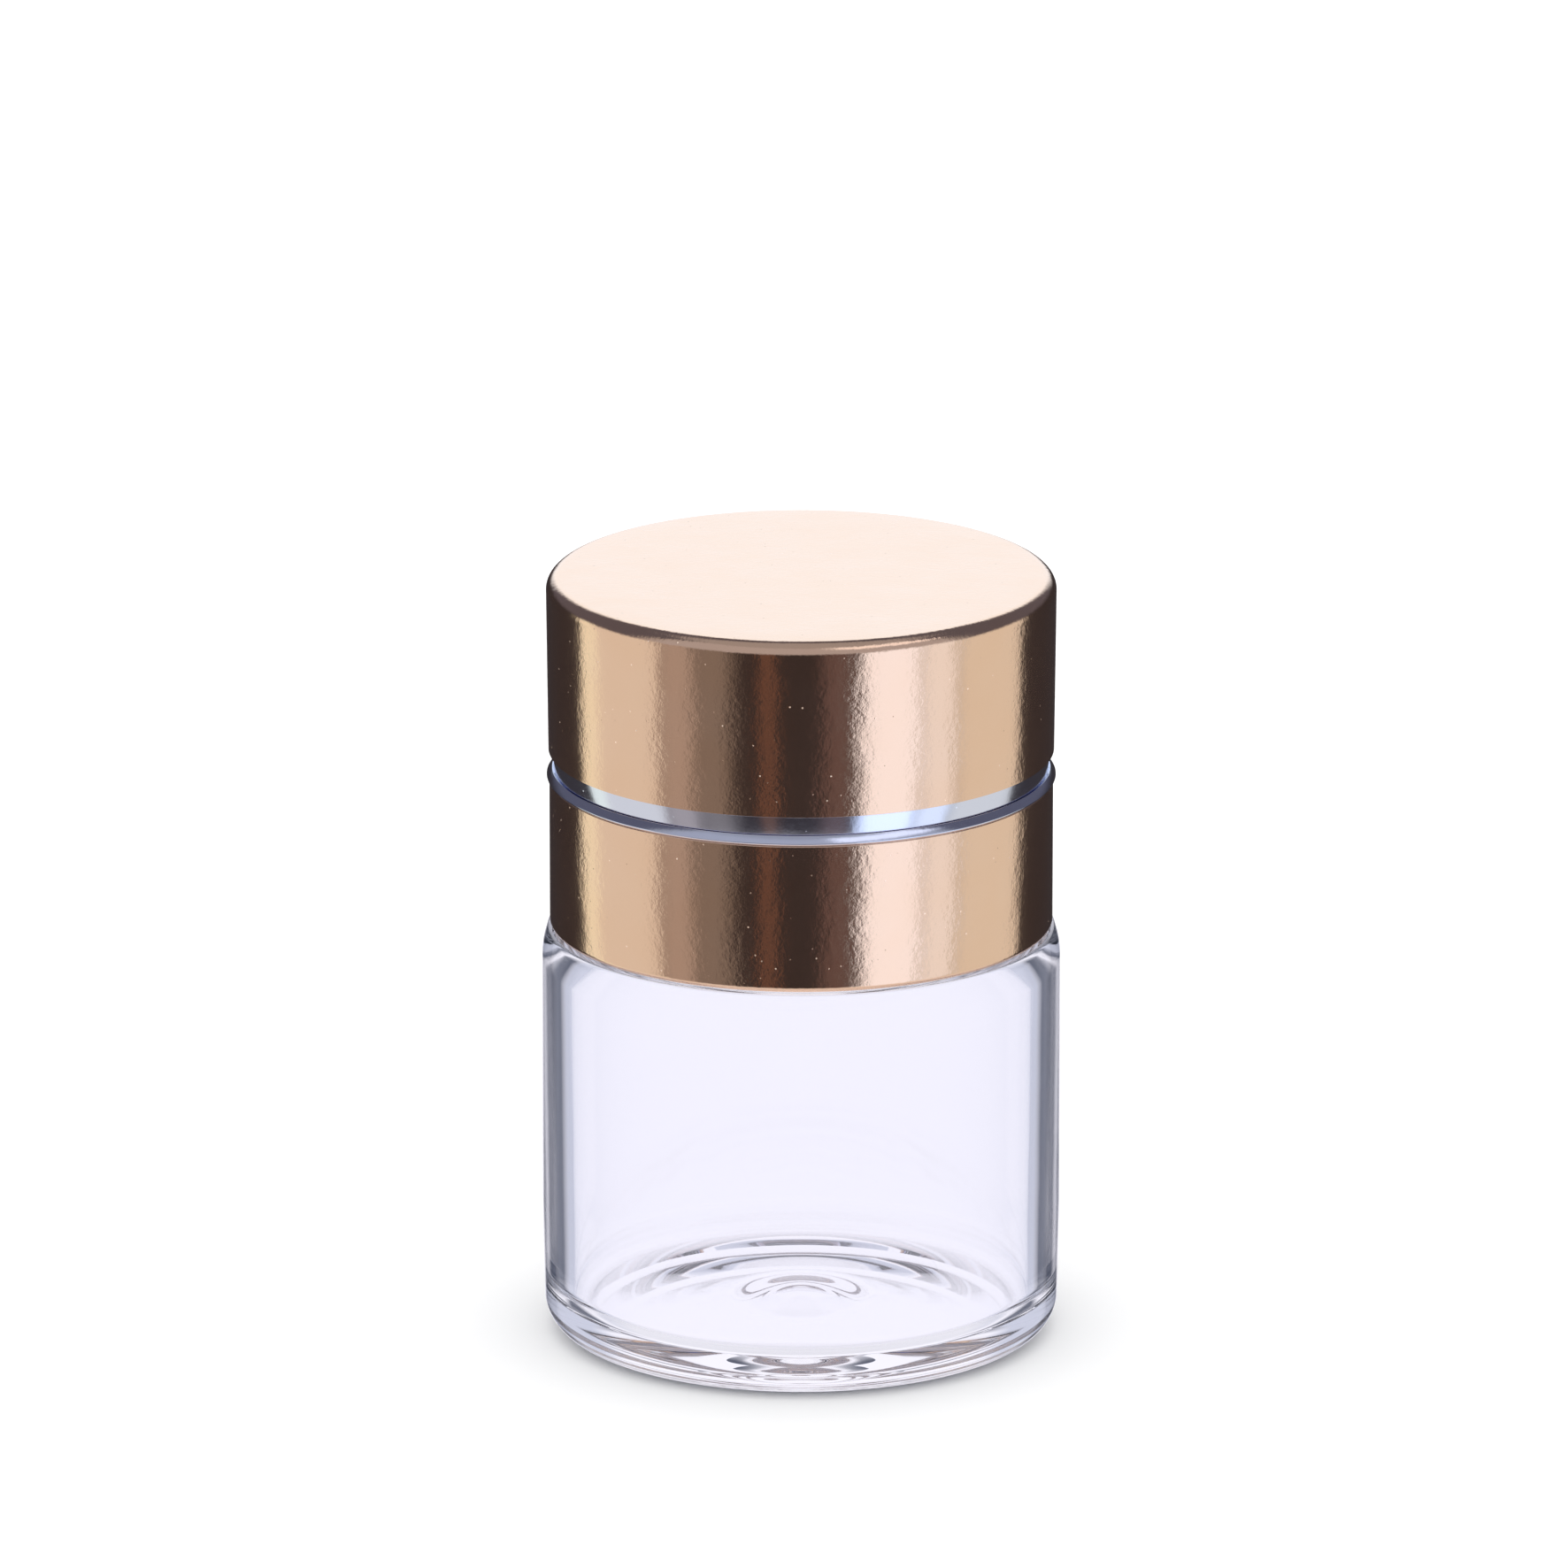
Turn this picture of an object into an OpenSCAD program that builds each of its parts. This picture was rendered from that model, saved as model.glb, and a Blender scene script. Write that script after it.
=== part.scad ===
// Small glass sample vial with a screw closure.
// A drawn-glass body carries a bright threaded ring and a metal sleeve on its neck.
// The cap is a metal shell over a clear threaded insert, with a sealing liner inside.
// Millimetres, +Z up, origin on the axis where the base stands.

/* [Glass body] */
// Outside radius of the glass body
body_r = 11; // [10.98:0.01:11.02]
// Wall thickness of the glass body
body_wall = 1.3; // [1:0.05:1.5]
// Height at which the body starts to turn in to the shoulder
shoulder_z = 16.4; // [16.35:0.01:16.42]
// Thickness of the glass floor
floor_t = 1.5; // [1.2:0.1:1.8]
// Radius of the rounded base corner
base_round = 1.5; // [1.2:0.1:1.8]
// Height of the push-up dimple in the middle of the floor
dimple_h = 0.35; // [0.25:0.05:0.45]

/* [Glass neck] */
// Outside radius of the glass neck
neck_r = 8.3; // [8.2:0.02:8.34]
// Inside radius of the glass neck
mouth_r = 7; // [6.6:0.1:7.2]
// Outside radius of the bead round the mouth
bead_r = 8.85; // [8.75:0.05:8.9]
// Height of the glass rim above the base
rim_z = 30.4; // [30.3:0.05:30.4]

/* [Closure metal] */
// Outside radius of the cap shell near its lower edge
shell_r = 10.7; // [10.68:0.01:10.74]
// How much wider the cap shell is at the top
shell_draft = 0.08; // [0:0.01:0.12]
// Outside radius of the collar sleeve
sleeve_r = 10.66; // [10.64:0.01:10.7]
// Sheet thickness of both metal pieces
sheet_t = 0.33; // [0.3:0.01:0.35]
// Height of the closed vial
total_h = 33.1; // [33:0.1:33.4]
// Height of the shell's lower edge when the cap is on
shell_z = 24.55; // [24.53:0.01:24.6]
// Height of the sleeve's lower edge
sleeve_z = 17.85; // [17.82:0.01:17.9]
// Height of the sleeve's upper edge
sleeve_top = 24.28; // [24.2:0.02:24.3]

/* [Screw thread] */
// Rise of the cap in one turn
pitch = 2; // [1.9:0.05:2.1]
// Core radius of the ring's thread
core_r = 9; // [8.95:0.01:9.02]
// Crest radius of the ring's thread
thread_r = 9.5; // [9.4:0.02:9.52]
// Turns of thread on the ring
ring_turns = 1.4; // [1:0.05:1.45]
// Turns of thread in the cap
cap_turns = 1.3; // [1:0.05:1.45]

/* [Hidden] */
$fn = 96;
eps = 0.01;

// Fits
slip = 0.02;          // pieces of one body, pressed together
neck_gap = 0.1;       // ring bore on the glass neck
seat_gap = 0.02;      // liner to the rim below it and the insert above it
liner_gap = 0.25;     // liner edge to the insert's wall, which turns round it
crest_gap = 0.15;     // thread crest to the root of the other thread
flank_drop = 0.7;     // cap thread below the ring thread it pulls against

// Glass
inner_r = body_r - body_wall;
base_taper = 0.08;                    // the body is this much slimmer at the base corner
taper_top = 5.8;
stand_r = 8.2;                        // the base stands on a flat band from here out
pushup = 0.3;                         // hollow of the underside
dimple_r = 3.2;
under_h = 0.8;                        // height of the dimple in the underside, steeper than inside
inner_round = 1.1;
bend_z = 18.1;                        // inside, the shoulder starts here
bend_round = 1.0;
throat_round = 1.1;
slope_a = 20;                         // slope of the shoulder, inside and out
long_bend = 3.6;                      // slow bend at the top of the body
long_bend_a = 21.5;
short_bend = 0.12;                    // edge of the ledge that the sleeve stands on
land_r = 10.28;                       // upright band that the sleeve is glued on
land_z = 18.3;
land_round = 1.2;
neck_fillet = 0.9;
bead_h = 1.4;
rim_round = 0.45;

// Ring
ring_bore = neck_r + neck_gap;
ring_z = 19.7;
ring_top = rim_z - bead_h - 0.1;
lip_z = 24.45;                        // flat top of the flange
lip_r = 10.55;
lip_h = 0.25;                         // height of the raised lip round it
lip_w = 0.05;                         // lean of the lip's inner side
crest_r = 10.77;                      // sharp edge that stands just proud of the metal
crest_z = 24.4;
deck_z = 23.1;                        // underside of the flange
skirt_r = sleeve_r - sheet_t - slip;
skirt_t = 0.6;

// Cap
insert_z = 24.53;
insert_r = shell_r - sheet_t - slip;
shell_top_t = 0.4;
ceiling_z = total_h - shell_top_t;
liner_t = 1;
plate_z = rim_z + liner_t;            // underside of the insert's top
cap_bore = thread_r + crest_gap;
liner_r = cap_bore - liner_gap;
shell_round = 0.6;
shell_roll = 1;                       // height of the tapered lower edge
shell_tuck = 0.25;                    // how far that edge turns in
edge_step = 0.2;                      // depth of the bright band turned on that edge
edge_step_h = 0.08;
inner_roll = 0.3;                     // inside, the taper starts this much higher
insert_tuck = insert_r - shell_tuck;

// Thread
thread_z = 25.5;                      // centre of the ring thread where it starts
ridge_root = 0.45;                    // half widths of a ridge
ridge_crest = 0.2;
root_sink = 0.2;                      // a ridge is rooted this deep in its wall
thread_steps = 30;                    // sections in a turn
thread_fade = 40;                     // degrees over which a ridge grows from its end

// Points of a round arc about (cx, cy), from angle a to angle b
function arc(cx, cy, r, a, b, n = 6) =
    [for (i = [0 : n]) let (t = a + (b - a) * i / n) [cx + r * cos(t), cy + r * sin(t)]];

// A smooth hump of height h and radius r about the axis, centre first
function hump(h, r, z, n = 8) =
    [for (i = [0 : n]) [r * i / n, z + h * (1 + cos(180 * i / n)) / 2]];

function reversed(p) = [for (i = [len(p) - 1 : -1 : 0]) p[i]];

// Outside of the glass, from the middle of the base to the rim.
// It bends in to a ledge under the sleeve, runs up inside it, and slopes in to the neck.
function glass_outside() =
    let (low_r = body_r - base_taper,
         bend_x = body_r - long_bend,
         edge_x = bend_x + (long_bend - short_bend) * cos(long_bend_a),
         edge_z = shoulder_z + (long_bend - short_bend) * sin(long_bend_a),
         land_x = land_r - land_round,
         fillet_x = neck_r + neck_fillet,
         run = land_x - fillet_x + (land_round + neck_fillet) * sin(slope_a),
         fillet_z = land_z + (land_round + neck_fillet) * cos(slope_a) + run * tan(slope_a))
    concat(
        hump(under_h, dimple_r, pushup),
        [[stand_r - 1.4, 0.12], [stand_r, 0]],
        arc(low_r - base_round, base_round, base_round, -90, 0),
        [[body_r, taper_top], [body_r, shoulder_z]],
        arc(bend_x, shoulder_z, long_bend, 2, long_bend_a, 8),
        arc(edge_x, edge_z, short_bend, long_bend_a + 15, 90, 4),
        [[land_r, edge_z + short_bend]],
        arc(land_x, land_z, land_round, 0, 90 - slope_a),
        arc(fillet_x, fillet_z, neck_fillet, 270 - slope_a, 180),
        [[neck_r, rim_z - bead_h - 0.15], [bead_r, rim_z - bead_h + 0.15]],
        arc(bead_r - rim_round, rim_z - rim_round, rim_round, 0, 90, 5));

// Inside of the glass, from the rim down to the middle of the floor.
// Two arcs and the straight slope that touches both make the shoulder.
function glass_inside() =
    let (throat_x = mouth_r + throat_round,
         bend_x = inner_r - bend_round,
         run = bend_x - throat_x + (bend_round + throat_round) * sin(slope_a),
         throat_z = bend_z + (bend_round + throat_round) * cos(slope_a) + run * tan(slope_a))
    concat(
        arc(mouth_r + rim_round, rim_z - rim_round, rim_round, 90, 180, 5),
        arc(throat_x, throat_z, throat_round, 180, 270 - slope_a),
        arc(bend_x, bend_z, bend_round, 90 - slope_a, 0),
        arc(inner_r - inner_round, floor_t + inner_round, inner_round, 0, -90),
        reversed(hump(dimple_h, dimple_r, floor_t)));

module glass_vial() {
    color("lightcyan", 0.4)
        rotate_extrude() polygon(concat(glass_outside(), glass_inside()));
}

// A helical ridge. root and crest are radii; the ridge starts at angle a0 and height z0.
module ridge(root, crest, z0, a0, turns) {
    n = ceil(turns * thread_steps);
    outward = crest > root ? 1 : -1;
    base = root - outward * root_sink;
    function lift(a) = min(1, 0.35 + 0.65 * min(a, turns * 360 - a) / thread_fade);
    function section(a) =
        let (z = z0 + pitch * a / 360,
             tip = root + (crest - root) * lift(a),
             w = ridge_root + (ridge_root - ridge_crest) * root_sink / abs(crest - root),
             w_tip = ridge_root + (ridge_crest - ridge_root) * lift(a),
             rz = [[base, z - w], [tip, z - w_tip], [tip, z + w_tip], [base, z + w]])
        [for (p = outward > 0 ? rz : reversed(rz))
            [p[0] * cos(a0 + a), p[0] * sin(a0 + a), p[1]]];
    points = [for (i = [0 : n]) each section(turns * 360 * i / n)];
    sides = [for (i = [0 : n - 1]) for (k = [0 : 3])
        let (a = 4 * i + k, b = 4 * i + (k + 1) % 4)
        each [[a, b + 4, a + 4], [a, b, b + 4]]];
    polyhedron(points, concat([[0, 2, 1], [0, 3, 2]], sides,
        [[4 * n, 4 * n + 1, 4 * n + 2], [4 * n, 4 * n + 2, 4 * n + 3]]));
}

// Silvered ring on the glass neck: thread above, flange with a sharp lip, skirt inside the sleeve
module collar_ring() {
    color("silver") {
        rotate_extrude() polygon(concat(
            [[ring_bore, ring_z + 0.8], [core_r + 0.1, ring_z + 0.1], [core_r + 0.25, ring_z + 0.1],
             [core_r + 0.15, deck_z], [skirt_r - skirt_t, deck_z]],
            [[skirt_r - skirt_t, ring_z], [skirt_r, ring_z], [skirt_r, sleeve_top]],
            [[sleeve_r - 0.02, sleeve_top], [crest_r, crest_z]],
            [[lip_r, lip_z + lip_h], [lip_r - lip_w, lip_z]],
            arc(core_r + 0.3, lip_z + 0.3, 0.3, 270, 180, 4),
            arc(core_r - 0.25, ring_top - 0.25, 0.25, 0, 90, 4),
            [[ring_bore, ring_top]]));
        ridge(core_r, thread_r, thread_z, 0, ring_turns);
    }
}

// Metal sleeve round the ring's skirt and the glass below it, with a rounded lower edge
module collar_sleeve() {
    hem = 0.28;
    color("rosybrown")
        rotate_extrude() polygon(concat(
            [[sleeve_r - sheet_t, sleeve_top], [sleeve_r - sheet_t, sleeve_z]],
            arc(sleeve_r - hem, sleeve_z + hem, hem, -90, 0),
            [[sleeve_r, sleeve_top - 0.06], [sleeve_r - 0.06, sleeve_top]]));
}

// Clear threaded lining of the cap; its lowest band shows under the shell
module cap_insert() {
    start = (360 * flank_drop + 360 * 0.35) / pitch;
    color("aliceblue", 0.6)
        difference() {
            rotate_extrude() polygon([
                [0, plate_z], [cap_bore, plate_z], [cap_bore, insert_z],
                [insert_tuck, insert_z], [insert_tuck, shell_z + 0.05],
                [insert_r, shell_z + shell_roll + inner_roll + 0.05], [insert_r, ceiling_z - 0.4],
                [insert_r - 0.4, ceiling_z], [0, ceiling_z]]);
            // moulding recess that leaves a ring of plastic to press on the liner
            translate([0, 0, plate_z - eps]) cylinder(r = mouth_r - 0.8, h = 0.4 + eps);
        }
    color("aliceblue", 0.6)
        ridge(cap_bore, core_r + crest_gap + 0.03,
            thread_z - flank_drop + pitch * start / 360, start, cap_turns);
}

// Soft disc that seals on the glass rim
module cap_liner() {
    edge = 0.1;
    color("whitesmoke")
        rotate_extrude() polygon([
            [0, rim_z + seat_gap], [liner_r - edge, rim_z + seat_gap],
            [liner_r, rim_z + seat_gap + edge], [liner_r, plate_z - seat_gap - edge],
            [liner_r - edge, plate_z - seat_gap], [0, plate_z - seat_gap]]);
}

// Pressed metal shell of the cap. Its top corner is rounded, and its lower edge
// tapers in and is turned back to bare bright metal.
module cap_shell() {
    inner = shell_r - sheet_t;
    top_r = shell_r + shell_draft;
    corner = shell_round - sheet_t;
    color("rosybrown")
        rotate_extrude() polygon(concat(
            [[0, total_h]],
            arc(top_r - shell_round, total_h - shell_round, shell_round, 90, 0),
            [[shell_r, shell_z + shell_roll], [shell_r - edge_step, shell_z + shell_roll - edge_step_h]],
            [[shell_r - shell_tuck, shell_z], [shell_r - shell_tuck - sheet_t, shell_z]],
            [[inner, shell_z + shell_roll + inner_roll]],
            arc(top_r - sheet_t - corner, ceiling_z - corner, corner, 0, 90, 4),
            [[0, ceiling_z]]));
}

glass_vial();
collar_ring();
collar_sleeve();
cap_insert();
cap_liner();
cap_shell();
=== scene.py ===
import math

import bpy
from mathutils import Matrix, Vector


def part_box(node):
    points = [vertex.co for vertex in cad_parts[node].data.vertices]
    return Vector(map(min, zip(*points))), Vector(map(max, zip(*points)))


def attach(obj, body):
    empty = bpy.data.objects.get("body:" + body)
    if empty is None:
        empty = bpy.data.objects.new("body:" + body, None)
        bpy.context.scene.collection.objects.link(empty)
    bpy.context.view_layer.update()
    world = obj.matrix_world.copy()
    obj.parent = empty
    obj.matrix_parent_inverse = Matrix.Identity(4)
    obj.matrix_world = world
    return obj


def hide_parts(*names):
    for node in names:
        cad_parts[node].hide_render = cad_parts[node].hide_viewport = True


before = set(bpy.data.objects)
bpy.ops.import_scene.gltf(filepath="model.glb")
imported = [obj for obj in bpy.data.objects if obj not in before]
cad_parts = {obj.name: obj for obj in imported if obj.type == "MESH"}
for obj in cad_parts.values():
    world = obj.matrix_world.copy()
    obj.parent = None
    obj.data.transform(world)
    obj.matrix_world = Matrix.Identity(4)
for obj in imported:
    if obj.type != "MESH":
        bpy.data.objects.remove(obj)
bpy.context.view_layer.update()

print("Frame loaded")

mm = 0.001
spinSteps = 192  # faces round every turned piece


# Working in edit mode

def startFresh():
    if bpy.context.object and bpy.context.object.mode != "OBJECT":
        bpy.ops.object.mode_set(mode="OBJECT")
    bpy.ops.object.select_all(action="DESELECT")


def activate(piece):
    startFresh()
    piece.select_set(True)
    bpy.context.view_layer.objects.active = piece


def arc(centre, radius, start, end, steps=10):
    # angles in degrees, 0 outwards and 90 up
    turns = [math.radians(start + (end - start) * i / steps) for i in range(steps + 1)]
    return [(centre[0] + radius * math.cos(t), centre[1] + radius * math.sin(t)) for t in turns]


def hump(height, radius, base, steps=18):
    # a smooth rise about the axis, from its middle outwards
    return [(radius * i / steps, base + height * (1 + math.cos(math.pi * i / steps)) / 2)
            for i in range(steps + 1)]


def turned(name, outline, sharpness=40):
    # one vertex is extruded along the outline, in mm, and the line is spun round the axis
    startFresh()
    bpy.ops.mesh.primitive_plane_add(size=mm)
    piece = bpy.context.object
    piece.name = piece.data.name = name
    bpy.ops.object.mode_set(mode="EDIT")
    bpy.ops.mesh.select_all(action="SELECT")
    bpy.ops.mesh.merge(type="CENTER")
    here = (0, 0)
    for index, point in enumerate(outline):
        step = ((point[0] - here[0]) * mm, 0, (point[1] - here[1]) * mm)
        if index:
            bpy.ops.mesh.extrude_region_move(TRANSFORM_OT_translate={"value": step})
        else:
            bpy.ops.transform.translate(value=step)
        here = point
    bpy.ops.mesh.select_all(action="SELECT")
    bpy.ops.mesh.spin(steps=spinSteps, angle=2 * math.pi, center=(0, 0, 0), axis=(0, 0, 1))
    bpy.ops.mesh.select_all(action="SELECT")
    bpy.ops.mesh.remove_doubles(threshold=0.001 * mm)
    bpy.ops.mesh.normals_make_consistent(inside=False)
    bpy.ops.object.mode_set(mode="OBJECT")
    bpy.ops.object.shade_smooth_by_angle(angle=math.radians(sharpness))
    return piece


def threadRidge(thread, wall, tip):
    # the section is a small quad standing on the wall; it is extruded round and up in short steps
    outward = 1 if tip > wall else -1
    root = wall - outward * thread["sink"]
    slope = (thread["rootHalf"] - thread["tipHalf"]) / abs(tip - wall)
    rootHalf = thread["rootHalf"] + slope * thread["sink"]
    startFresh()
    bpy.ops.mesh.primitive_plane_add(size=1, rotation=(math.pi / 2, 0, 0))
    ridge = bpy.context.object
    bpy.ops.object.transform_apply(rotation=True)
    for vertex in ridge.data.vertices:
        atTip = vertex.co.x > 0
        half = thread["tipHalf"] if atTip else rootHalf
        radius = tip if atTip else root
        vertex.co = Vector((radius * mm, 0, (thread["height"] + math.copysign(half, vertex.co.z)) * mm))
    bpy.ops.object.mode_set(mode="EDIT")
    bpy.ops.mesh.select_all(action="SELECT")
    bpy.ops.transform.rotate(value=-math.radians(thread["start"]), orient_axis="Z", center_override=(0, 0, 0))
    steps = round(thread["turns"] * thread["steps"])
    for step in range(steps):
        bpy.ops.mesh.extrude_region_move(
            TRANSFORM_OT_translate={"value": (0, 0, thread["pitch"] / thread["steps"] * mm)})
        bpy.ops.transform.rotate(
            value=-2 * math.pi / thread["steps"], orient_axis="Z", center_override=(0, 0, 0))
    bpy.ops.mesh.select_all(action="SELECT")
    bpy.ops.mesh.normals_make_consistent(inside=False)
    bpy.ops.object.mode_set(mode="OBJECT")
    fadeIn(ridge, thread, wall, steps)
    soften(ridge, 0.06, 2)
    return ridge


def fadeIn(ridge, thread, wall, steps):
    # the ridge grows out of the wall at both ends
    for index, vertex in enumerate(ridge.data.vertices):
        section = index // 4
        fade = min(1, 0.3 + 0.7 * min(section, steps - section) / thread["fadeSteps"])
        radius = math.hypot(vertex.co.x, vertex.co.y)
        if (radius / mm - wall) * (1 if thread["outward"] else -1) > 0.01:
            scale = (wall * mm + (radius - wall * mm) * fade) / radius
            vertex.co.x *= scale
            vertex.co.y *= scale


def soften(piece, width, segments):
    activate(piece)
    bevel = piece.modifiers.new("softEdges", "BEVEL")
    bevel.width = width * mm
    bevel.segments = segments
    bevel.limit_method = "ANGLE"
    bevel.angle_limit = math.radians(25)
    bpy.ops.object.modifier_apply(modifier=bevel.name)


def weld(piece, tool, sharpness=40):
    # one closed skin from two overlapping ones, so that clear plastic has no walls inside it
    activate(piece)
    union = piece.modifiers.new("weld", "BOOLEAN")
    union.operation = "UNION"
    union.solver = "EXACT"
    union.object = tool
    bpy.ops.object.modifier_apply(modifier=union.name)
    bpy.data.objects.remove(tool)
    bpy.ops.object.shade_smooth_by_angle(angle=math.radians(sharpness))


def fit(piece, node, body, material):
    piece.data.materials.clear()
    piece.data.materials.append(material)
    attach(piece, body)
    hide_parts(node)
    print("Made", piece.name)


# Shader nodes

class Wire:
    # an output socket that does arithmetic by adding Math nodes
    def __init__(self, graph, socket):
        self.graph = graph
        self.socket = socket

    def math(self, operation, *values):
        return self.graph.add("ShaderNodeMath", {"operation": operation}, dict(enumerate(values)))

    def __add__(self, other):
        return self.math("ADD", self, other)

    def __sub__(self, other):
        return self.math("SUBTRACT", self, other)

    def __rsub__(self, other):
        return self.math("SUBTRACT", other, self)

    def __mul__(self, other):
        return self.math("MULTIPLY", self, other)

    def __truediv__(self, other):
        return self.math("DIVIDE", self, other)

    __radd__ = __add__
    __rmul__ = __mul__

    def clamped(self):
        return self.math("MINIMUM", self.math("MAXIMUM", self, 0), 1)


class Graph:
    def __init__(self, tree):
        self.tree = tree
        tree.nodes.clear()

    def add(self, kind, settings, inputs, output=0):
        # settings first, because some of them change which sockets there are
        node = self.tree.nodes.new(kind)
        for name, value in settings.items():
            if name == "stops":
                self.setStops(node.color_ramp, value)
            else:
                setattr(node, name, value)
        for name, value in inputs.items():
            self.connect(node.inputs[name], value)
        return Wire(self, node.outputs[output]) if node.outputs else node

    def connect(self, socket, value):
        if isinstance(value, Wire):
            self.tree.links.new(value.socket, socket)
        else:
            socket.default_value = value

    def setStops(self, ramp, stops):
        while len(ramp.elements) < len(stops):
            ramp.elements.new(1)
        for element, (position, colour) in zip(ramp.elements, stops):
            element.position = position
            element.color = (*colour, 1)

    def objectCoords(self):
        return self.add("ShaderNodeTexCoord", {}, {}, "Object")

    def heightOf(self, coords):
        return self.add("ShaderNodeSeparateXYZ", {}, {0: coords}, "Z")

    def noise(self, coords, size, detail=2, roughness=0.5):
        # size is that of one blob, in mm
        return self.add("ShaderNodeTexNoise", {"noise_dimensions": "3D"},
                        {"Vector": coords, "Scale": 1 / (size * mm), "Detail": detail,
                         "Roughness": roughness})

    def specks(self, coords, spacing, size):
        # round dots, one or none in each cell of the spacing, in mm
        distance = self.add("ShaderNodeTexVoronoi", {"feature": "F1"},
                            {"Vector": coords, "Scale": 1 / (spacing * mm), "Randomness": 1.0},
                            "Distance")
        return (1 - distance * (spacing / size)).clamped()

    def mix(self, factor, first, second):
        return self.add("ShaderNodeMix", {"data_type": "RGBA"},
                        {"Factor": factor, 6: first, 7: second}, 2)

    def bump(self, height, depth, strength=1.0):
        return self.add("ShaderNodeBump", {}, {"Height": height, "Distance": depth * mm,
                                               "Strength": strength})

    def principled(self, inputs):
        shader = self.add("ShaderNodeBsdfPrincipled", {}, inputs)
        self.add("ShaderNodeOutputMaterial", {}, {"Surface": shader})
        return shader


def newMaterial(name):
    material = bpy.data.materials.new(name)
    material.use_nodes = True
    return material, Graph(material.node_tree)


def rgb(red, green, blue):
    return (red, green, blue, 1)


roseGoldLook = {
    "metal": rgb(0.95, 0.63, 0.42),
    "worn": rgb(0.97, 0.68, 0.49),
    "dust": rgb(0.95, 0.85, 0.78),
    "bare": rgb(0.82, 0.84, 0.95),
    "bareLow": 24.4, "bareHigh": 25.5,   # the turned edge of the cap shell lies between these levels
    "bareEdge": 0.025,                   # over this height its colour changes
    "bareSmooth": 0.8,                   # how much of the grain it has lost
    "roughness": 0.11, "grainRoughness": 0.12, "patchRoughness": 0.04,
    "grain": 0.09, "pebble": 0.26, "waves": 1.6, "patches": 3.0,   # sizes in mm
    "pebbleHeight": 7, "pebbleLeast": 0.5, "waveHeight": 6, "dustHeight": 2, "pitDepth": 3,
    "dustSpacing": 0.75, "dustSize": 0.05, "dustCover": 0.6, "dustDull": 0.8,
    "pitSpacing": 0.55, "pitSize": 0.03,
    "grainDepth": 0.003,
}


def roseGold():
    material, graph = newMaterial("roseGold")
    look = roseGoldLook
    coords = graph.objectCoords()
    grain = graph.noise(coords, look["grain"], detail=3, roughness=0.6)
    pebble = graph.noise(coords, look["pebble"], detail=2, roughness=0.6)
    waves = graph.noise(coords, look["waves"], detail=1)
    patches = graph.noise(coords, look["patches"], detail=2)
    dust = graph.specks(coords, look["dustSpacing"], look["dustSize"])
    pits = graph.specks(coords, look["pitSpacing"], look["pitSize"])
    colour = graph.mix(patches, look["metal"], look["worn"])
    colour = graph.mix(dust * look["dustCover"], colour, look["dust"])
    level = graph.heightOf(coords)
    change = 1 / (look["bareEdge"] * mm)
    bare = (level - look["bareLow"] * mm) * change
    bare = bare.clamped() * ((look["bareHigh"] * mm - level) * change).clamped()
    colour = graph.mix(bare, colour, look["bare"])
    rough = grain + pebble * (patches * look["pebbleHeight"] - look["pebbleLeast"])
    height = rough * (1 - bare * look["bareSmooth"]) + waves * look["waveHeight"]
    height = height + dust * look["dustHeight"] - pits * look["pitDepth"]
    graph.principled({
        "Base Color": colour,
        "Metallic": 1 - dust * look["dustDull"],
        "Roughness": (grain - 0.5) * look["grainRoughness"] + patches * look["patchRoughness"]
                     + look["roughness"],
        "Normal": graph.bump(height, look["grainDepth"]),
    })
    return material


glassLook = {
    "tint": rgb(0.975, 0.975, 0.995), "ior": 1.5,
    "waves": 4.0, "waveDepth": 0.004,
    "dustSpacing": 1.3, "dustSize": 0.03, "dustRoughness": 0.2,
}


def drawnGlass():
    material, graph = newMaterial("drawnGlass")
    look = glassLook
    coords = graph.objectCoords()
    waves = graph.noise(coords, look["waves"], detail=1)
    dust = graph.specks(coords, look["dustSpacing"], look["dustSize"])
    graph.principled({
        "Base Color": look["tint"],
        "Roughness": dust * look["dustRoughness"],
        "IOR": look["ior"],
        "Transmission Weight": 1.0,
        "Normal": graph.bump(waves, look["waveDepth"]),
    })
    return material


silverLook = {
    "plate": rgb(0.80, 0.83, 0.95), "thin": rgb(0.74, 0.77, 0.9),
    "roughness": 0.09, "grainRoughness": 0.08,
    "flow": 0.7, "grain": 0.12, "flowHeight": 4, "depth": 0.0015,
}


def silverPlate():
    material, graph = newMaterial("silverPlate")
    look = silverLook
    coords = graph.objectCoords()
    flow = graph.noise(coords, look["flow"], detail=2)
    grain = graph.noise(coords, look["grain"], detail=2)
    graph.principled({
        "Base Color": graph.mix(flow, look["plate"], look["thin"]),
        "Metallic": 1.0,
        "Roughness": grain * look["grainRoughness"] + look["roughness"],
        "Normal": graph.bump(flow * look["flowHeight"] + grain, look["depth"]),
    })
    return material


plasticLook = {
    "tint": rgb(0.93, 0.95, 0.99), "ior": 1.49,
    "roughness": 0.02, "flow": 0.8, "flowRoughness": 0.06, "flowDepth": 0.003,
}


def clearPlastic():
    material, graph = newMaterial("clearPlastic")
    look = plasticLook
    coords = graph.objectCoords()
    flow = graph.noise(coords, look["flow"], detail=2)
    graph.principled({
        "Base Color": look["tint"],
        "Roughness": flow * look["flowRoughness"] + look["roughness"],
        "IOR": look["ior"],
        "Transmission Weight": 1.0,
        "Normal": graph.bump(flow, look["flowDepth"]),
    })
    return material


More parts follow.
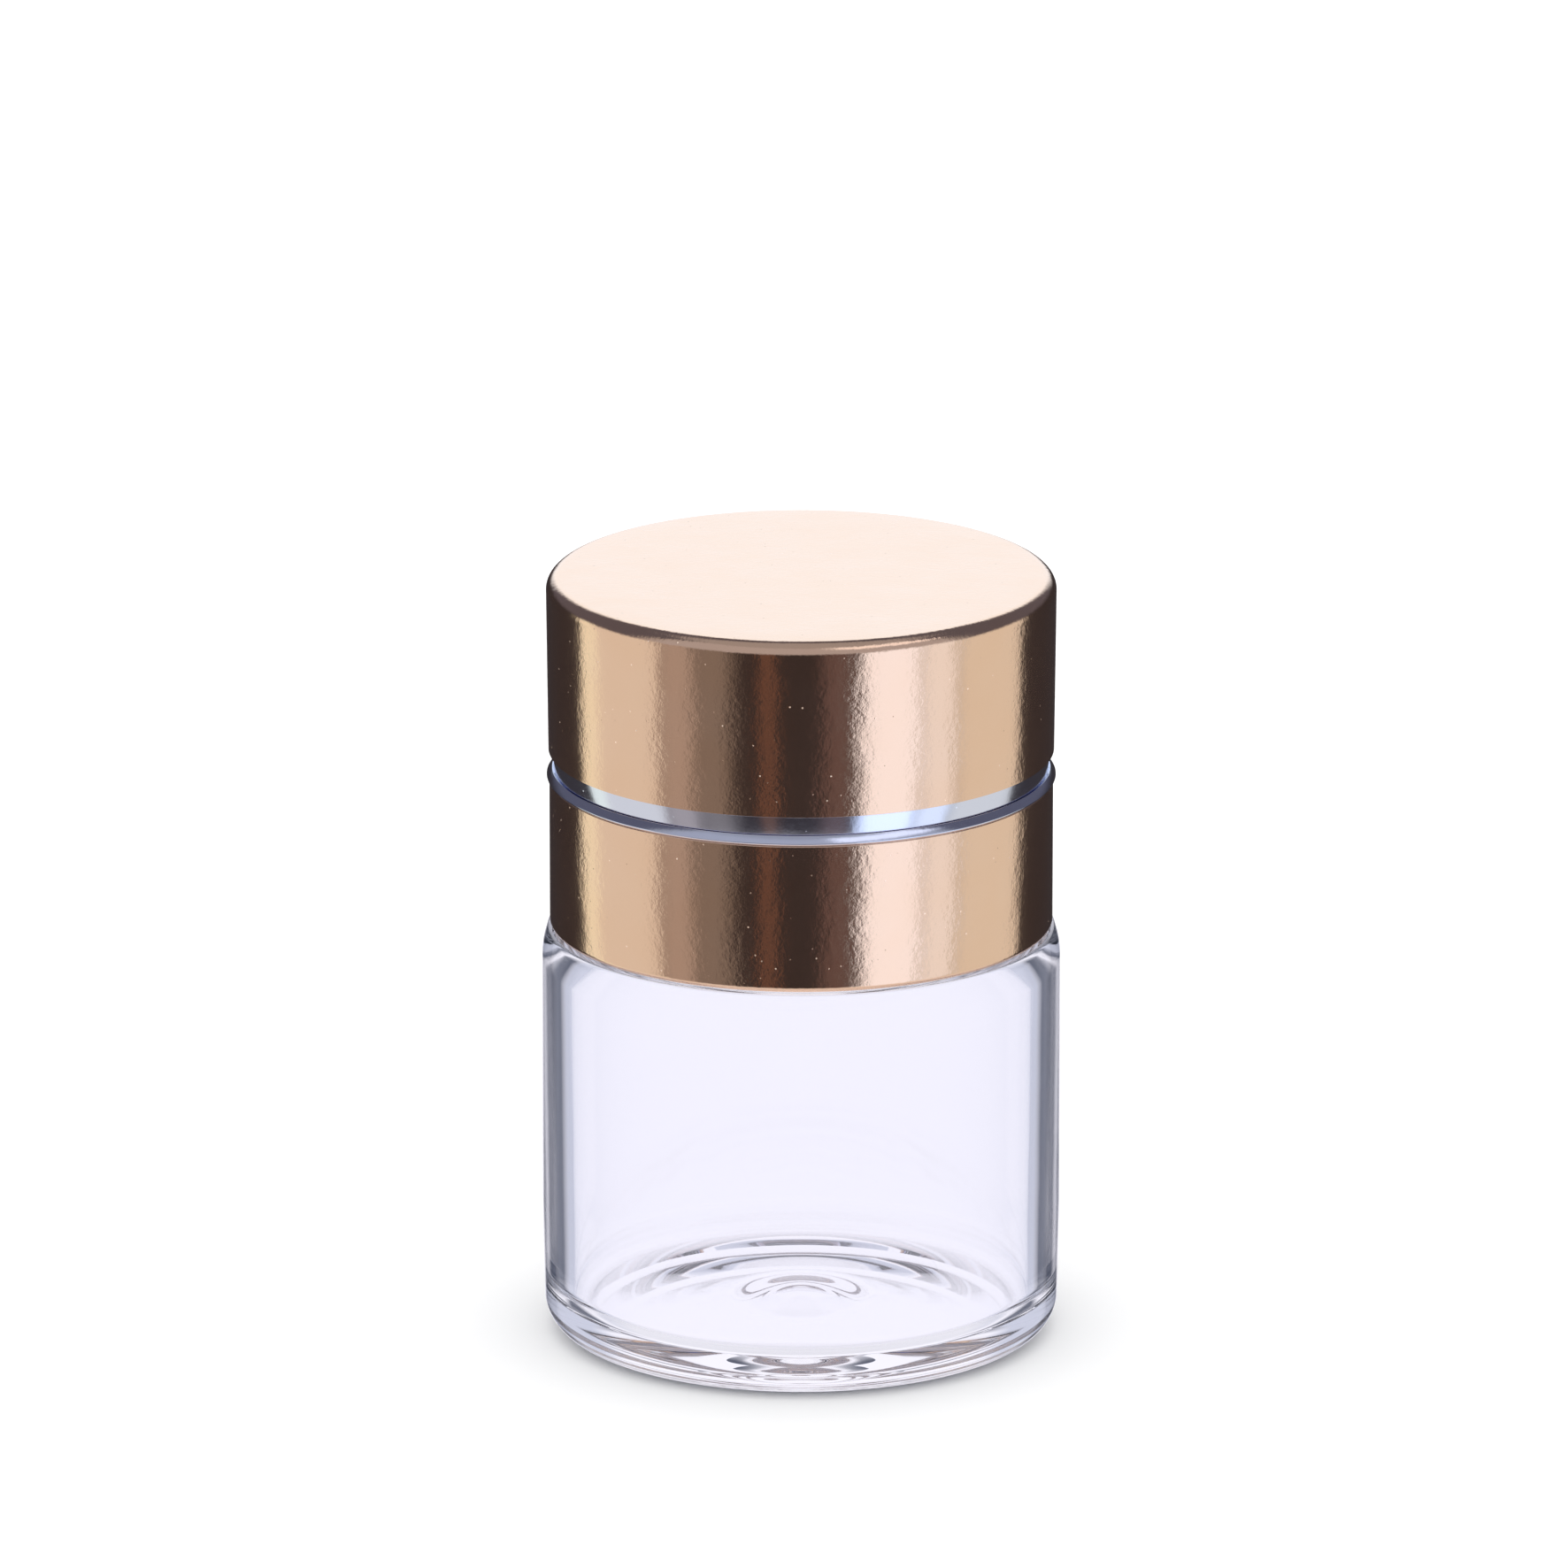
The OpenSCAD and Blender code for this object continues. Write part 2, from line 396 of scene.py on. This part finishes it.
foamLook = {
    "shade": rgb(0.84, 0.84, 0.82), "light": rgb(0.93, 0.93, 0.92),
    "cell": 0.22, "wallWidth": 6, "wallShare": 0.5,
    "tone": 2.0, "toneShare": 0.3,
    "roughness": 0.9, "wallGloss": 0.25, "depth": 0.02,
}


def foamLiner():
    material, graph = newMaterial("foamLiner")
    look = foamLook
    coords = graph.objectCoords()
    cells = graph.add("ShaderNodeTexVoronoi", {"feature": "DISTANCE_TO_EDGE"},
                      {"Vector": coords, "Scale": 1 / (look["cell"] * mm)}, "Distance")
    walls = (1 - cells * look["wallWidth"]).clamped()
    tone = graph.noise(coords, look["tone"], detail=3)
    share = walls * look["wallShare"] + tone * look["toneShare"]
    graph.principled({
        "Base Color": graph.mix(share, look["shade"], look["light"]),
        "Roughness": look["roughness"] - walls * look["wallGloss"],
        "Normal": graph.bump(walls, look["depth"]),
    })
    return material


metal = roseGold()
glass = drawnGlass()
silver = silverPlate()
plastic = clearPlastic()
foam = foamLiner()
print("Materials ready")


# Camera

cameraSpot = {
    "distance": 800, "elevation": 16.3, "lens": 433.2, "sensor": 36,
    "height": 18,           # the level on the axis that the distance is measured from
    "aside": -0.73,         # the view's middle is this far left of the axis
    "above": 5.65,          # and this far above that level, across the view
}


def addCamera():
    spot = cameraSpot
    tilt = math.radians(spot["elevation"])
    up = Vector((0, math.sin(tilt), math.cos(tilt)))
    back = Vector((0, -math.cos(tilt), math.sin(tilt)))
    middle = Vector((spot["aside"], 0, spot["height"])) + up * spot["above"]
    data = bpy.data.cameras.new("camera")
    data.lens = spot["lens"]
    data.sensor_width = spot["sensor"]
    data.clip_start = 0.01
    data.clip_end = 20
    camera = bpy.data.objects.new("camera", data)
    bpy.context.scene.collection.objects.link(camera)
    camera.location = (middle + back * spot["distance"]) * mm
    camera.rotation_euler = (math.pi / 2 - tilt, 0, 0)
    bpy.context.scene.camera = camera


addCamera()


# Glass vial: body, neck and mouth in one drawn piece

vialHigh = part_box("glass_vial")[1]
vialShape = {
    "bodyRadius": vialHigh.x / mm,
    "rimHeight": vialHigh.z / mm,
    "wall": 1.3,
    "floor": 1.5,
    "standRadius": 8.2,
    "baseRound": 1.5,
    "baseTaper": 0.08,
    "taperTop": 5.8,
    "pushUp": 0.3,
    "dimpleHeight": 0.35, "underHeight": 0.8,  # of the dimple, inside and in the underside
    "dimpleRadius": 3.2,
    "innerRound": 1.1,
    "shoulder": 16.4,
    "longBend": 3.6, "longBendAngle": 21.5,
    "ledgeRound": 0.12,                                         # edge of the ledge below the sleeve
    "landRadius": 10.28, "landHeight": 18.3, "landRound": 1.2,  # the sleeve grips this band
    "neckRadius": 8.3, "neckFillet": 0.9,
    "beadRadius": 8.85, "beadHeight": 1.4,
    "mouthRadius": 7, "rimRound": 0.45,
    "bendHeight": 18.1, "bendRound": 1.0, "throatRound": 1.1,
    "slope": 20,  # of the shoulder, inside and out
}


def slopeRise(gap, rounds):
    # height between the centres of two arcs, with their radii added up, that one slope touches
    slope = math.radians(vialShape["slope"])
    return rounds * math.cos(slope) + (gap + rounds * math.sin(slope)) * math.tan(slope)


def vialOutside():
    s = vialShape
    lowRadius = s["bodyRadius"] - s["baseTaper"]
    longX = s["bodyRadius"] - s["longBend"]
    angle = math.radians(s["longBendAngle"])
    ledgeX = longX + (s["longBend"] - s["ledgeRound"]) * math.cos(angle)
    ledgeZ = s["shoulder"] + (s["longBend"] - s["ledgeRound"]) * math.sin(angle)
    landX = s["landRadius"] - s["landRound"]
    filletX = s["neckRadius"] + s["neckFillet"]
    filletZ = s["landHeight"] + slopeRise(landX - filletX, s["landRound"] + s["neckFillet"])
    beadLow = s["rimHeight"] - s["beadHeight"]
    rimX = s["beadRadius"] - s["rimRound"]
    return (hump(s["underHeight"], s["dimpleRadius"], s["pushUp"])
            + [(s["standRadius"] - 1.4, 0.12), (s["standRadius"], 0)]
            + arc((lowRadius - s["baseRound"], s["baseRound"]), s["baseRound"], -90, 0, 16)
            + [(s["bodyRadius"], s["taperTop"]), (s["bodyRadius"], s["shoulder"])]
            + arc((longX, s["shoulder"]), s["longBend"], 1, s["longBendAngle"], 14)
            + arc((ledgeX, ledgeZ), s["ledgeRound"], s["longBendAngle"] + 12, 90, 6)
            + arc((s["landRadius"] + 0.08, ledgeZ + s["ledgeRound"] + 0.08), 0.08, 270, 180, 4)
            + arc((landX, s["landHeight"]), s["landRound"], 0, 90 - s["slope"])
            + arc((filletX, filletZ), s["neckFillet"], 270 - s["slope"], 180, 8)
            + arc((s["neckRadius"] + 0.3, beadLow - 0.15), 0.3, 180, 130, 4)
            + arc((s["beadRadius"] - 0.3, beadLow + 0.35), 0.3, -50, 0, 4)
            + arc((rimX, s["rimHeight"] - s["rimRound"]), s["rimRound"], 0, 90, 8))


def vialInside():
    s = vialShape
    innerRadius = s["bodyRadius"] - s["wall"]
    throatX = s["mouthRadius"] + s["throatRound"]
    bendX = innerRadius - s["bendRound"]
    throatZ = s["bendHeight"] + slopeRise(bendX - throatX, s["bendRound"] + s["throatRound"])
    cornerX = innerRadius - s["innerRound"]
    return (arc((s["mouthRadius"] + s["rimRound"], s["rimHeight"] - s["rimRound"]),
                s["rimRound"], 90, 180, 8)
            + arc((throatX, throatZ), s["throatRound"], 180, 270 - s["slope"])
            + arc((bendX, s["bendHeight"]), s["bendRound"], 90 - s["slope"], 0)
            + arc((cornerX, s["floor"] + s["innerRound"]), s["innerRound"], 0, -90, 14)
            + hump(s["dimpleHeight"], s["dimpleRadius"], s["floor"])[::-1])


fit(turned("glassVial", vialOutside() + vialInside()), "glass_vial", "vial", glass)


# Collar: bright plated ring with its metal sleeve

ringLow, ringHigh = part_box("collar_ring")
sleeveLow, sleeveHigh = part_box("collar_sleeve")
sleeveShape = {
    "radius": sleeveHigh.x / mm,
    "low": sleeveLow.z / mm, "high": sleeveHigh.z / mm,
    "sheet": 0.33, "hem": 0.28,
}
ringShape = {
    "bore": 8.4, "core": 9.0, "low": ringLow.z / mm, "high": ringHigh.z / mm,
    "skirt": sleeveShape["radius"] - sleeveShape["sheet"] - 0.02, "skirtWall": 0.6,
    "deck": 23.1, "flangeHeight": 24.45, "lipHeight": 24.7, "lipRadius": 10.55, "lipWidth": 0.05,
    "crestRadius": ringHigh.x / mm, "crestHeight": 24.4, "crestRound": 0.04,
}
threadShape = {
    "pitch": 2, "steps": 48, "turns": 1.4, "start": 0, "height": 25.5, "tipRadius": 9.5,
    "rootHalf": 0.45, "tipHalf": 0.2, "sink": 0.2, "fadeSteps": 6, "outward": True,
}


def ringOutline():
    s = ringShape
    sleeveTop = sleeveShape["high"]
    outline = [(s["bore"], s["low"] + 0.8), (s["core"] + 0.1, s["low"] + 0.1),
               (s["core"] + 0.25, s["low"] + 0.1), (s["core"] + 0.15, s["deck"]),
               (s["skirt"] - s["skirtWall"], s["deck"]), (s["skirt"] - s["skirtWall"], s["low"]),
               (s["skirt"], s["low"]), (s["skirt"], sleeveTop),
               (sleeveShape["radius"] - 0.02, sleeveTop)]
    outline += arc((s["crestRadius"] - s["crestRound"], s["crestHeight"]), s["crestRound"], -30, 30, 4)
    outline += arc((s["lipRadius"] - 0.03, s["lipHeight"] - 0.03), 0.03, 40, 140, 4)
    outline += [(s["lipRadius"] - s["lipWidth"], s["flangeHeight"])]
    outline += arc((s["core"] + 0.3, s["flangeHeight"] + 0.3), 0.3, 270, 180, 6)
    outline += arc((s["core"] - 0.25, s["high"] - 0.25), 0.25, 0, 90, 6)
    return outline + [(s["bore"], s["high"]), outline[0]]


def sleeveOutline():
    s = sleeveShape
    centre = (s["radius"] - s["hem"], s["low"] + s["hem"])
    outline = [(s["radius"] - s["sheet"], s["high"]), (s["radius"] - s["sheet"], s["low"])]
    outline += arc(centre, s["hem"], -90, 0, 12)
    outline += arc((s["radius"] - 0.06, s["high"] - 0.06), 0.06, 0, 90, 4)
    return outline + [outline[0]]


ring = turned("collarRing", ringOutline(), sharpness=30)
weld(ring, threadRidge(threadShape, ringShape["core"], threadShape["tipRadius"]), sharpness=30)
fit(ring, "collar_ring", "vial", silver)
fit(turned("collarSleeve", sleeveOutline()), "collar_sleeve", "vial", metal)


# Cap: metal shell, clear threaded insert, sealing liner

shellLow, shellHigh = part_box("cap_shell")
insertLow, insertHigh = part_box("cap_insert")
linerLow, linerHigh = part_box("cap_liner")
shellShape = {
    "radius": shellHigh.x / mm, "low": shellLow.z / mm, "high": shellHigh.z / mm,
    "sheet": 0.33, "topSheet": 0.4, "round": 0.6, "crown": 0.02,
    "draft": 0.08,                       # it is this much wider at the top
    "roll": 1.0, "tuck": 0.25,           # the lower edge tapers in
    "step": 0.2, "stepHeight": 0.08,     # and is turned back to bare metal
    "innerRoll": 0.3,                    # inside, the taper starts this much higher
}
insertShape = {
    "radius": insertHigh.x / mm, "low": insertLow.z / mm, "high": insertHigh.z / mm,
    "tuck": 0.25, "bore": 9.65, "plate": 31.4, "recessRadius": 6.2, "recess": 0.4,
}
capThread = dict(threadShape, turns=1.3, start=189, height=25.85, tipRadius=9.18, outward=False)


def shellOutline():
    s = shellShape
    lowRadius = s["radius"] - s["draft"]
    ceiling = s["high"] - s["topSheet"]
    corner = s["round"] - s["sheet"]
    shoulder = s["radius"] - s["round"]
    outline = [(shoulder * i / 8, s["high"] - s["crown"] * (i / 8) ** 2) for i in range(8)]
    outline += arc((shoulder, s["high"] - s["round"] - s["crown"]), s["round"], 90, 0, 14)
    edge = lowRadius - s["tuck"]
    rollTop = s["low"] + s["roll"]
    outline += [(lowRadius, rollTop), (lowRadius - s["step"], rollTop - s["stepHeight"])]
    outline += arc((edge - 0.05, s["low"] + 0.05), 0.05, 0, -90, 3)
    outline += [(edge - s["sheet"], s["low"]), (lowRadius - s["sheet"], rollTop + s["innerRoll"])]
    outline += arc((s["radius"] - s["sheet"] - corner, ceiling - corner), corner, 0, 90, 6)
    return outline + [(0, ceiling)]


def insertOutline():
    s = insertShape
    edge = s["radius"] - s["tuck"]
    rollTop = shellShape["low"] + shellShape["roll"] + shellShape["innerRoll"] + 0.05
    outline = [(0, s["plate"] + s["recess"]), (s["recessRadius"], s["plate"] + s["recess"]),
               (s["recessRadius"], s["plate"]), (s["bore"], s["plate"]), (s["bore"], s["low"] + 0.08),
               (s["bore"] + 0.08, s["low"])]
    outline += arc((edge - 0.08, s["low"] + 0.08), 0.08, -90, 0, 4)
    outline += [(edge, shellShape["low"] + 0.05), (s["radius"], rollTop)]
    outline += [(s["radius"], s["high"] - 0.4), (s["radius"] - 0.4, s["high"]), (0, s["high"])]
    return outline


def linerOutline():
    edge = 0.1
    radius, low, high = linerHigh.x / mm, linerLow.z / mm, linerHigh.z / mm
    return ([(0, low)] + arc((radius - edge, low + edge), edge, -90, 0, 4)
            + arc((radius - edge, high - edge), edge, 0, 90, 4) + [(0, high)])


insert = turned("capInsert", insertOutline(), sharpness=30)
weld(insert, threadRidge(capThread, insertShape["bore"], capThread["tipRadius"]), sharpness=30)
fit(insert, "cap_insert", "cap", plastic)
fit(turned("capShell", shellOutline()), "cap_shell", "cap", metal)
fit(turned("capLiner", linerOutline()), "cap_liner", "cap_rise", foam)


# Studio: pale floor and soft light all round, with panels that show in the metal and the glass

floorLook = {"radius": 2, "low": rgb(0.92, 0.92, 0.92), "high": rgb(0.94, 0.94, 0.94), "blotch": 60}


def addFloor():
    startFresh()
    bpy.ops.mesh.primitive_circle_add(vertices=64, radius=floorLook["radius"], fill_type="NGON")
    floor = bpy.context.object
    floor.name = "floor"
    material, graph = newMaterial("paleFloor")
    paper = graph.noise(graph.objectCoords(), floorLook["blotch"], detail=3)
    graph.principled({
        "Base Color": graph.mix(paper, floorLook["low"], floorLook["high"]),
        "Roughness": 0.9,
        "Specular IOR Level": 0.0,
    })
    floor.data.materials.append(material)
    floor.visible_glossy = False
    floor.visible_transmission = False


# what the metal mirrors: angles in degrees from the front, positive to the right
studioPanels = [
    {"from": -117, "to": -67, "soft": 5, "light": rgb(0.72, 0.72, 0.72)},
    {"from": -118, "to": -106, "soft": 4, "light": rgb(0.88, 0.94, 0.86)},
    {"from": -67, "to": -48, "soft": 10, "light": rgb(0.40, 0.36, 0.36)},
    {"from": -48, "to": -32, "soft": 10, "light": rgb(0.22, 0.20, 0.20)},
    {"from": -18.5, "to": -11.5, "soft": 3, "light": rgb(0.146, 0.084, 0.068)},
    {"from": 10, "to": 22, "soft": 6, "light": rgb(0.125, 0.09, 0.096)},
    {"from": 27, "to": 56, "soft": 7, "light": rgb(1.02, 1.16, 1.46)},
    {"from": 56, "to": 76, "soft": 8, "light": rgb(0.87, 0.95, 1.10)},
    {"from": 76, "to": 117, "soft": 6, "light": rgb(0.72, 0.73, 0.72)},
]
# away is the angle from the front on either side, and height that above the floor;
# each edge is (angle, softness), and a later light covers an earlier one
darkRoom = rgb(0.04, 0.035, 0.04)
softboxes = {
    "edge": {"light": rgb(0.9, 0.9, 0.95), "awayFrom": (175, 4)},
    "canopy": {"light": rgb(0.42, 0.43, 0.50), "heightFrom": (12, 10), "awayTo": (76, 14)},
    "highSides": {"light": rgb(0.11, 0.11, 0.15), "heightFrom": (8, 10), "awayFrom": (76, 14)},
    "overhead": {"light": rgb(0.34, 0.35, 0.40), "heightFrom": (62, 10)},
    "highPanel": {"light": rgb(1.0, 1.02, 1.15), "aroundFrom": (20, 8), "aroundTo": (82, 10),
                  "heightFrom": (46, 6), "heightTo": (64, 8)},   # shows in the ring's lip
    "backdrop": {"light": rgb(1.03, 1.18, 1.37), "awayFrom": (162, 12),
                 "heightFrom": (4, 4), "heightTo": (35, 8)},     # the cap's top mirrors it
    "table": {"light": rgb(0.75, 0.74, 0.78), "heightTo": (-38, 14)},
}
# what the glass and clear plastic let through
throughLights = {
    "front": rgb(0.62, 0.64, 0.76),
    "wings": rgb(0.08, 0.09, 0.13),
    "back": rgb(1.01, 0.99, 1.07),
    "table": rgb(0.85, 0.84, 0.9),
    "frontTo": (143, 7), "wingsTo": (169, 6), "wingsLow": (-32, 6), "wingsHigh": (0, 8),
    "tableTop": (-40, 14),
    "oneWall": 2,   # light goes through the surface twice in passing along one wall
}
openLight = rgb(1.42, 1.42, 1.42)


def addWorld():
    world = bpy.data.worlds.new("studio")
    bpy.context.scene.world = world
    world.use_nodes = True
    world.cycles.sampling_method = "NONE"  # each kind of ray then sees its own lights
    graph = Graph(world.node_tree)
    direction = graph.add("ShaderNodeTexCoord", {}, {}, "Generated")
    split = graph.tree.nodes.new("ShaderNodeSeparateXYZ")
    graph.connect(split.inputs[0], direction)
    x, y, z = (Wire(graph, output) for output in split.outputs)
    around = x.math("ARCTAN2", x, 0 - y) * (180 / math.pi)
    height = z.math("ARCSINE", z) * (180 / math.pi)
    away = around.math("ABSOLUTE", around)

    def past(value, limit):
        return ((value - limit[0]) / limit[1] + 0.5).clamped()

    mirrored = darkRoom
    for panel in studioPanels:
        start, end = (panel["from"], panel["soft"]), (panel["to"], panel["soft"])
        mirrored = graph.mix(past(around, start) * (1 - past(around, end)), mirrored, panel["light"])
    measures = {"around": around, "away": away, "height": height}
    for box in softboxes.values():
        mask = 1
        for name, value in measures.items():
            if name + "From" in box:
                mask = past(value, box[name + "From"]) * mask
            if name + "To" in box:
                mask = (1 - past(value, box[name + "To"])) * mask
        mirrored = graph.mix(mask, mirrored, box["light"])

    path = graph.tree.nodes.new("ShaderNodeLightPath")
    seen, spread, refracted, sharp, depth = (Wire(graph, path.outputs[name]) for name in
                                             ("Is Camera Ray", "Is Diffuse Ray", "Is Transmission Ray",
                                              "Is Singular Ray", "Transmission Depth"))
    lights = throughLights
    beyondFront = past(away, lights["frontTo"])
    through = graph.mix(beyondFront, lights["front"], lights["back"])
    # light that has only been along one wall comes from the wings, which lie low
    oneWall = 1 - (depth - lights["oneWall"]).clamped()
    oneWall = oneWall * past(height, lights["wingsLow"]) * (1 - past(height, lights["wingsHigh"]))
    wings = beyondFront * (1 - past(away, lights["wingsTo"])) * oneWall
    through = graph.mix(wings, through, lights["wings"])
    through = graph.mix(1 - past(height, lights["tableTop"]), through, lights["table"])

    light = graph.mix((refracted + sharp).clamped(), mirrored, through)
    light = graph.mix((seen + spread).clamped(), light, openLight)
    background = graph.add("ShaderNodeBackground", {}, {"Color": light, "Strength": 1.0})
    graph.add("ShaderNodeOutputWorld", {}, {"Surface": background})


addFloor()
addWorld()
scene = bpy.context.scene
scene.view_settings.view_transform = "Standard"
bounces = 32  # light goes to and fro inside the glass
scene.cycles.max_bounces = bounces
scene.cycles.glossy_bounces = bounces
scene.cycles.transmission_bounces = bounces
print("Studio ready")
